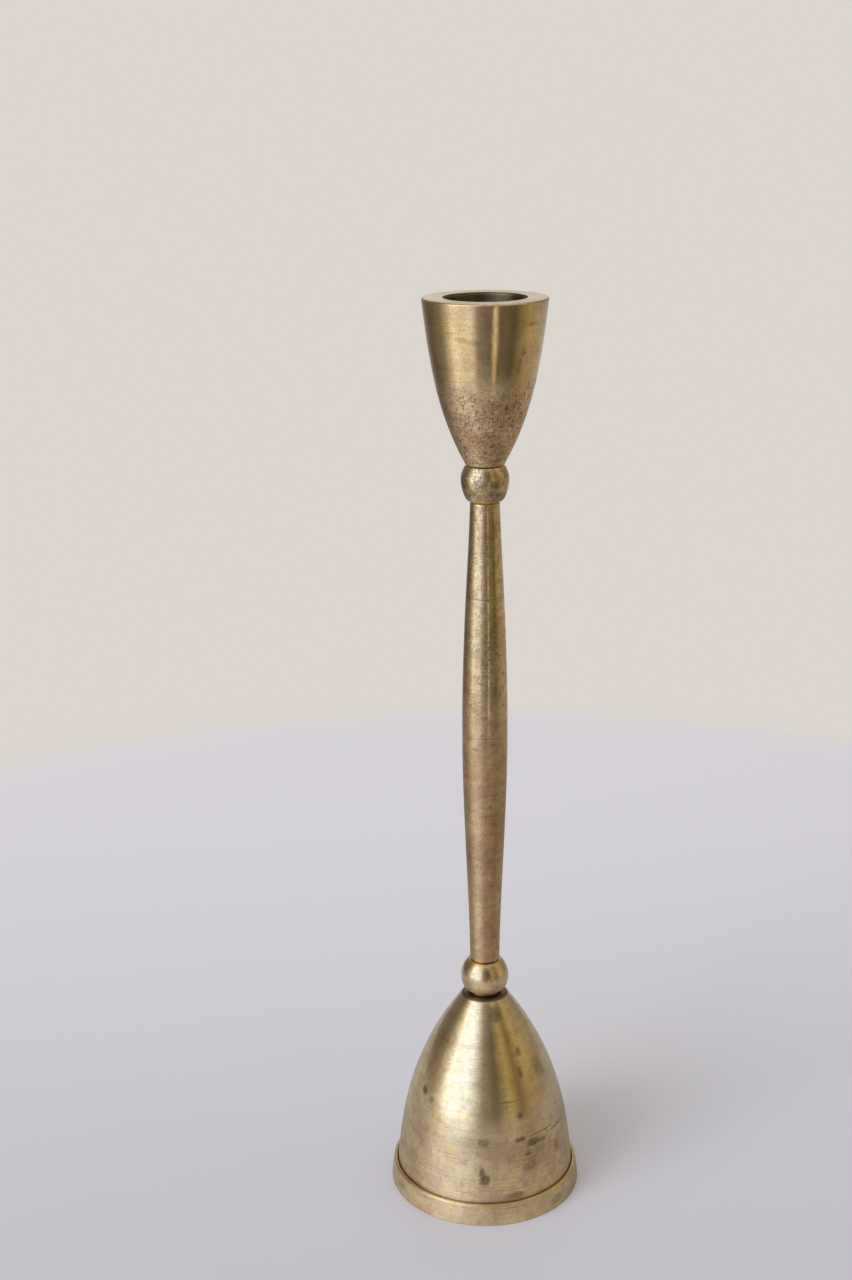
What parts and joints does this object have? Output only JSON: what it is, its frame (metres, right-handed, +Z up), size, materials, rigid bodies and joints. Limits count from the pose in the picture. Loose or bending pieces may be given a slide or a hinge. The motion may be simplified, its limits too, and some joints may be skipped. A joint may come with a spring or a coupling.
{
  "type": "candlestick",
  "caption": "Tall turned brass candlestick: flared candle cup with a deep socket, bead, slim spindle stem, ball bead and hollow bell foot in a ring.",
  "frame": {"origin": "middle of the face that the foot ring stands on, at table level", "axes": "+Z up along the stem; the outside is round, so X and Y are free; the spring washer's cut faces +X"},
  "size_m": [0.0634, 0.0634, 0.298],
  "materials": {
    "bright_brass": "satin, aged, with dark spots",
    "satin_brass": "satin, aged",
    "dull_brass": "satin to dull, stained",
    "plain_steel": "plain, slightly tarnished"
  },
  "bodies": {
    "root": {"candle_cup": "bright_brass", "upper_knop": "satin_brass", "upper_stud": "plain_steel", "stem": "satin_brass", "lower_knop": "satin_brass", "lower_stud": "plain_steel", "base_bell": "dull_brass", "foot_ring": "dull_brass", "plain_washer": "plain_steel", "spring_washer": "plain_steel", "hex_nut": "plain_steel"}
  },
  "joints": []
}
